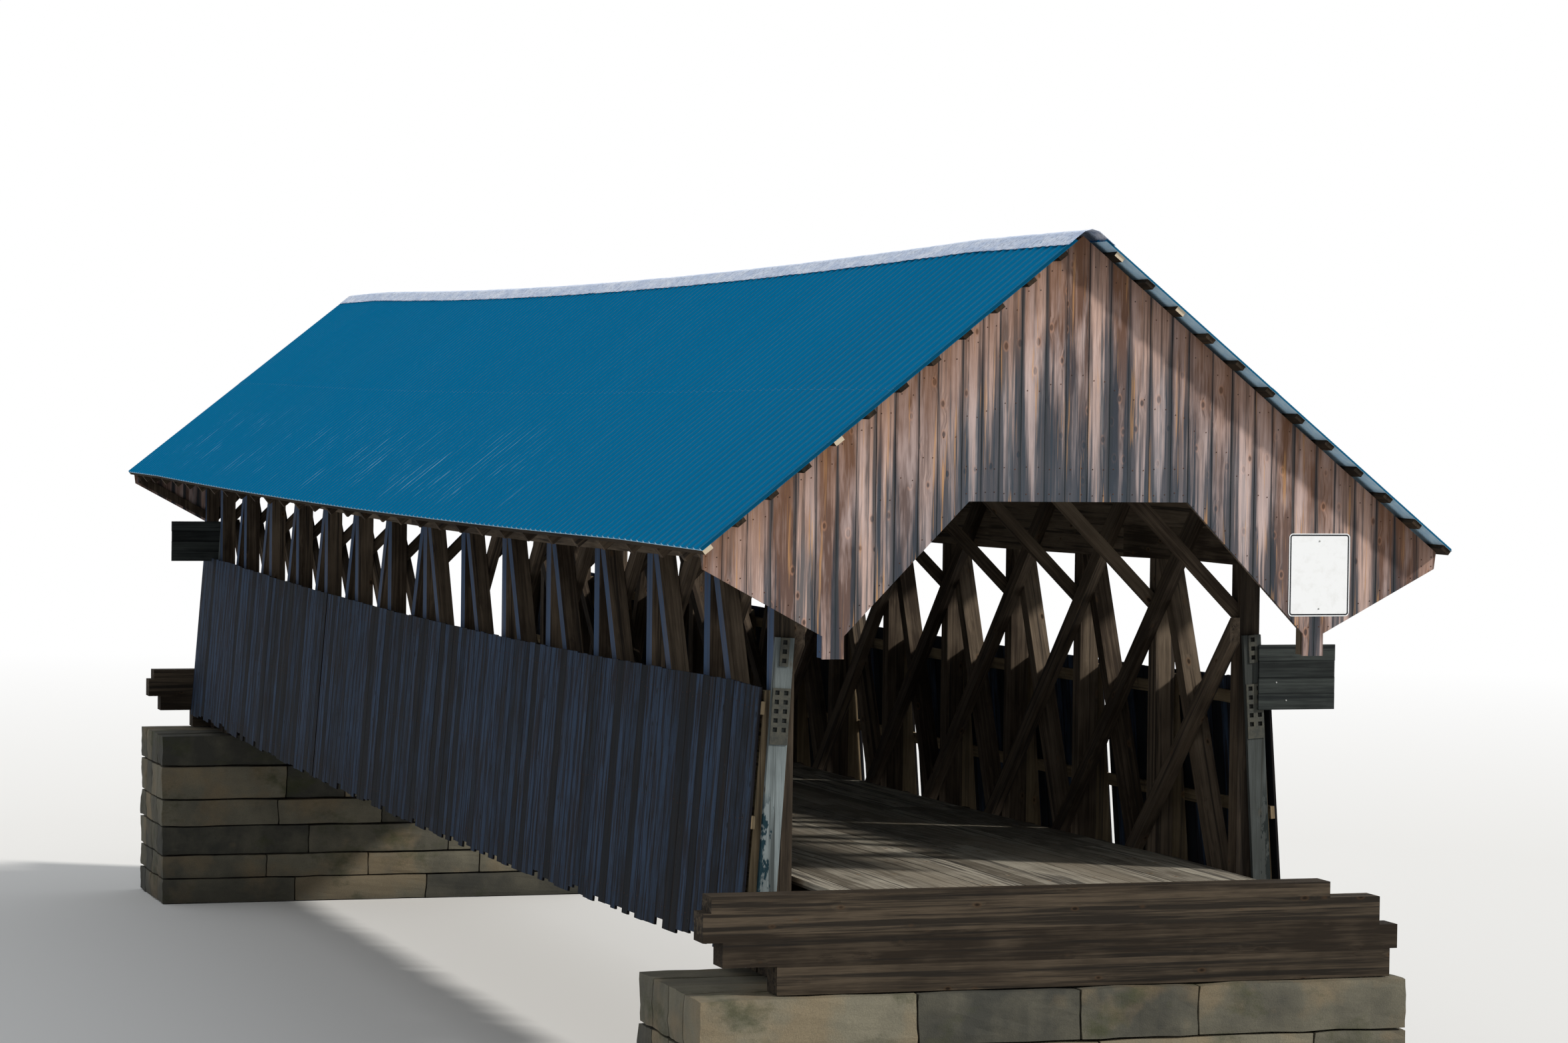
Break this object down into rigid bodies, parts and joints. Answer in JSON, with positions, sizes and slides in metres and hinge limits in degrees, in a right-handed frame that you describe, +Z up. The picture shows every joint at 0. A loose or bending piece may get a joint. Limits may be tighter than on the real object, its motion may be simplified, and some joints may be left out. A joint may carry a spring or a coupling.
{
  "type": "covered bridge",
  "caption": "Timber covered bridge with long counterbraces across its trusses' posts, low boarded side walls, boarded portals and a sagging ribbed metal roof, on dry laid stone abutments.",
  "frame": {"origin": "centre of the bridge's footprint, at the foot of the abutments", "axes": "+X across the road, +Y along the road from the near portal to the far one, +Z up"},
  "size_m": [7.2478, 31.98, 9.5272],
  "materials": {
    "stone": "rough, dry laid, weathered",
    "bed_timber": "rough sawn, dark",
    "frame_timber": "rough sawn, aged",
    "brace_timber": "rough sawn, aged",
    "floor_timber": "rough sawn, aged",
    "deck_plank": "worn planks",
    "rafter_timber": "rough sawn, aged",
    "purlin_timber": "rough sawn",
    "roof_sheet": "baked paint, faded, satin",
    "ridge_metal": "pale, dented, satin",
    "gable_board": "weathered, unpainted",
    "rail_timber": "weathered",
    "side_board": "weathered grey",
    "jamb_board": "weathered, with remains of paint",
    "marker_plate": "dull, weathered",
    "panel_board": "weathered, dark",
    "bare_plate": "satin white paint"
  },
  "bodies": {
    "root": {"abutment_near": "stone", "abutment_far": "stone", "bed_timbers_near": "bed_timber", "bed_timbers_far": "bed_timber", "end_wall_near": "bed_timber", "end_wall_far": "bed_timber", "lower_chord_left": "frame_timber", "lower_chord_right": "frame_timber", "upper_chord_left": "frame_timber", "upper_chord_right": "frame_timber", "posts_left": "frame_timber", "posts_right": "frame_timber", "braces_left": "brace_timber", "braces_right": "brace_timber", "counterbraces_left": "brace_timber", "counterbraces_right": "brace_timber", "floor_beams": "floor_timber", "deck": "deck_plank", "tie_beams": "frame_timber", "knee_braces_left": "brace_timber", "knee_braces_right": "brace_timber", "wall_plate_left": "frame_timber", "wall_plate_right": "frame_timber", "rafters_left": "rafter_timber", "rafters_right": "rafter_timber", "purlins_left": "purlin_timber", "purlins_right": "purlin_timber", "roof_left": "roof_sheet", "roof_right": "roof_sheet", "ridge_cap": "ridge_metal", "gable_near": "gable_board", "gable_far": "gable_board", "gable_frame_near": "frame_timber", "gable_frame_far": "frame_timber", "side_frame_left": "rail_timber", "side_frame_right": "rail_timber", "siding_left": "side_board", "siding_right": "side_board", "jambs_near": "jamb_board", "jambs_far": "jamb_board", "marker_plates_near": "marker_plate", "marker_plates_far": "marker_plate", "board_panel_near": "panel_board", "board_panel_far": "panel_board", "sign_plate": "bare_plate"}
  },
  "joints": []
}
